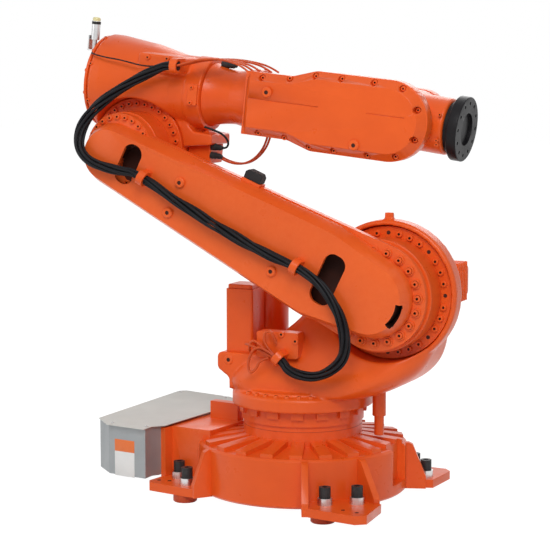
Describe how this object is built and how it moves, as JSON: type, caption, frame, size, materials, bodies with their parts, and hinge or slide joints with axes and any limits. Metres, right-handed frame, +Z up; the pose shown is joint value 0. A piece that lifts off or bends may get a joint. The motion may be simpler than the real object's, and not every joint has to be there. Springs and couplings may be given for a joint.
{
  "type": "industrial robot arm",
  "caption": "Six-axis floor-mounted industrial robot arm with a swivelling turret, offset lower arm, slotted forearm, wrist and black tool flange, folded in its transport pose.",
  "frame": {"origin": "on the swivel axis at floor level, in the middle of the four feet", "axes": "+Z up the swivel axis, +X ahead of the base (away from the cable entry), +Y to its left"},
  "size_m": [1.292, 0.7391, 1.5332],
  "materials": {
    "orange_paint": "semi-gloss orange enamel over castings",
    "grey_sheet": "light grey powder-coated sheet",
    "steel": "zinc-plated",
    "black_steel": "blackened",
    "rubber": "matte black",
    "hose": "matte black jacket",
    "cable": "orange jacket",
    "lens": "pale yellow dome"
  },
  "bodies": {
    "base": {"base_casting": "orange_paint", "foot_pads": "steel", "anchor_sleeves": "steel", "anchor_bolts": "black_steel", "connector_box": "grey_sheet", "box_lid": "grey_sheet", "lug_ring": "orange_paint"},
    "turret": {"turret_casting": "orange_paint", "stop_pin": "orange_paint", "lifting_eye": "orange_paint", "shoulder_gear_ring": "orange_paint", "shoulder_motor": "orange_paint", "swivel_motor": "orange_paint", "swivel_motor_cap": "orange_paint", "swivel_gearbox": "orange_paint", "cable_plate": "orange_paint", "turret_hose_clamp": "orange_paint"},
    "lower_arm": {"shoulder_disc": "orange_paint", "lower_arm": "orange_paint", "elbow_disc": "orange_paint", "damper_base": "orange_paint", "damper": "rubber", "arm_plugs": "orange_paint", "arm_clamp_low": "orange_paint", "arm_clamp_high": "orange_paint", "arm_hoses": "hose", "shoulder_hoses": "hose"},
    "elbow_housing": {"elbow_housing": "orange_paint", "elbow_gear_ring": "orange_paint", "rear_cover": "orange_paint", "side_plate": "orange_paint", "leg_motor": "orange_paint", "elbow_motor": "orange_paint", "roll_motor": "orange_paint", "lamp_bracket": "steel", "lamp_body": "steel", "lamp_lens": "lens", "housing_hose_clamp": "orange_paint", "elbow_hoses": "hose"},
    "forearm": {"forearm_neck": "orange_paint", "forearm_body": "orange_paint", "right_cover": "orange_paint", "left_cover": "orange_paint", "cover_plugs": "orange_paint", "top_cables": "cable", "low_cables": "cable"},
    "wrist": {"wrist_housing": "orange_paint"},
    "tool_flange": {"tool_flange": "black_steel"}
  },
  "joints": [
    {"name": "base_swivel", "type": "hinge", "parent": "base", "child": "turret", "pos_m": [0, 0, 0], "axis": [0, 0, 1], "range_deg": [-178, 162]},
    {"name": "shoulder", "type": "hinge", "parent": "turret", "child": "lower_arm", "pos_m": [0.31689, 0.04453, 0.68], "axis": [-0.1392, 0.9903, 0], "range_deg": [-1, 149], "deforming": ["shoulder_hoses"]},
    {"name": "elbow", "type": "hinge", "parent": "lower_arm", "child": "elbow_housing", "pos_m": [-0.55091, -0.07742, 1.10741], "axis": [0.1392, -0.9903, 0], "range_deg": [0, 240], "deforming": ["elbow_hoses"]},
    {"name": "forearm_roll", "type": "hinge", "parent": "elbow_housing", "child": "forearm", "pos_m": [-0.53021, -0.07452, 1.30632], "axis": [0.9848, 0.1384, -0.1045], "range_deg": [-300, 300], "deforming": ["top_cables", "low_cables"]},
    {"name": "wrist_bend", "type": "hinge", "parent": "forearm", "child": "wrist", "pos_m": [0.34335, 0.04825, 1.2136], "axis": [-0.1392, 0.9903, 0], "range_deg": [-132, 128]},
    {"name": "flange_spin", "type": "hinge", "parent": "wrist", "child": "tool_flange", "pos_m": [0.53947, 0.07582, 1.18576], "axis": [0.9806, 0.1378, -0.1392], "range_deg": [-300, 300]}
  ]
}
